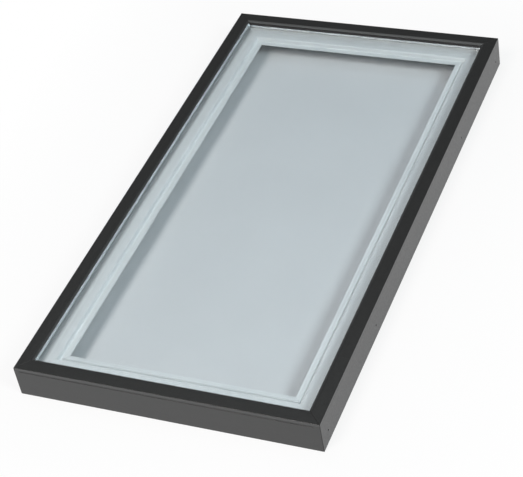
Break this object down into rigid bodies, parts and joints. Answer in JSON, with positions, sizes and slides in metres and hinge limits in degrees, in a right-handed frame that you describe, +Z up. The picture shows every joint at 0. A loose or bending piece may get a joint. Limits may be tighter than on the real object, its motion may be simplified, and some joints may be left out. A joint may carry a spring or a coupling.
{
  "type": "roof skylight",
  "caption": "Fixed curb-mounted roof skylight: mitred dark cap frame over a double-glazed unit on a white inner frame with a condensation gutter.",
  "frame": {"origin": "centre of the footprint, on the lower rim of the cap skirts", "axes": "+Z up through the glass, +Y along the long side towards the head (the upper end on a slope), +X to the right seen from the sill"},
  "size_m": [0.673, 1.283, 0.076],
  "materials": {
    "cap_paint": "fine matt dark grey powder coat on extruded aluminium",
    "key_metal": "mill-finish aluminium",
    "gasket_rubber": "smooth black rubber",
    "pane_glass": "clear float glass with a faint cool tint",
    "spacer_metal": "satin anodised aluminium",
    "desiccant_bead": "packed fine beads",
    "butyl": "black butyl bead",
    "edge_sealant_black": "black edge sealant",
    "tape_foam": "white closed-cell foam tape",
    "block_plastic": "moulded dark plastic",
    "frame_plastic": "smooth extruded white plastic",
    "bar_steel": "zinc-coated steel",
    "seal_foam": "charcoal closed-cell foam"
  },
  "bodies": {
    "root": {"sill_cap_rail": "cap_paint", "head_cap_rail": "cap_paint", "left_cap_rail": "cap_paint", "right_cap_rail": "cap_paint", "sill_left_corner_key": "key_metal", "sill_right_corner_key": "key_metal", "head_left_corner_key": "key_metal", "head_right_corner_key": "key_metal", "sill_glazing_gasket": "gasket_rubber", "head_glazing_gasket": "gasket_rubber", "left_glazing_gasket": "gasket_rubber", "right_glazing_gasket": "gasket_rubber", "outer_pane": "pane_glass", "inner_pane": "pane_glass", "spacer_bar": "spacer_metal", "spacer_connector": "key_metal", "desiccant_fill": "desiccant_bead", "upper_butyl_seal": "butyl", "lower_butyl_seal": "butyl", "edge_sealant": "edge_sealant_black", "sill_bed_tape": "tape_foam", "head_bed_tape": "tape_foam", "left_bed_tape": "tape_foam", "right_bed_tape": "tape_foam", "sill_location_block_1": "block_plastic", "sill_location_block_2": "block_plastic", "head_location_block_1": "block_plastic", "head_location_block_2": "block_plastic", "left_location_block_1": "block_plastic", "left_location_block_2": "block_plastic", "right_location_block_1": "block_plastic", "right_location_block_2": "block_plastic", "sill_inner_frame": "frame_plastic", "head_inner_frame": "frame_plastic", "left_inner_frame": "frame_plastic", "right_inner_frame": "frame_plastic", "sill_steel_bar": "bar_steel", "head_steel_bar": "bar_steel", "left_steel_bar": "bar_steel", "right_steel_bar": "bar_steel", "sill_curb_seal": "seal_foam", "head_curb_seal": "seal_foam", "left_curb_seal": "seal_foam", "right_curb_seal": "seal_foam"}
  },
  "joints": []
}
